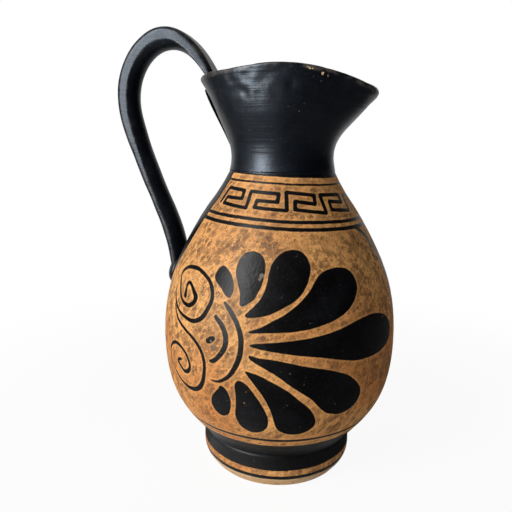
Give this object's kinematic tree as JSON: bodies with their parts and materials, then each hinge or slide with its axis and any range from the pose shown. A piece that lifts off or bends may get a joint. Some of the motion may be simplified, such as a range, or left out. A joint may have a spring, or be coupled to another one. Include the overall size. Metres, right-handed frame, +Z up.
{
  "type": "oinochoe jug",
  "caption": "Ceramic jug with a ring foot, a pear-shaped painted body, a flared neck with a pulled spout and a high strap handle.",
  "frame": {"origin": "centre of the ring that the jug stands on", "axes": "+Z up along the axis of the body, +X towards the spout, handle at -X"},
  "size_m": [0.1651, 0.1342, 0.2489],
  "materials": {
    "black_slip": "satin black slip",
    "painted_clay": "satin orange clay, painted with black slip",
    "luting_clay": "satin black slip"
  },
  "bodies": {
    "root": {"foot": "black_slip", "foot_luting": "luting_clay", "body": "painted_clay", "neck_luting": "luting_clay", "neck": "black_slip", "handle": "black_slip", "handle_tail": "black_slip", "handle_root": "black_slip"}
  },
  "joints": []
}
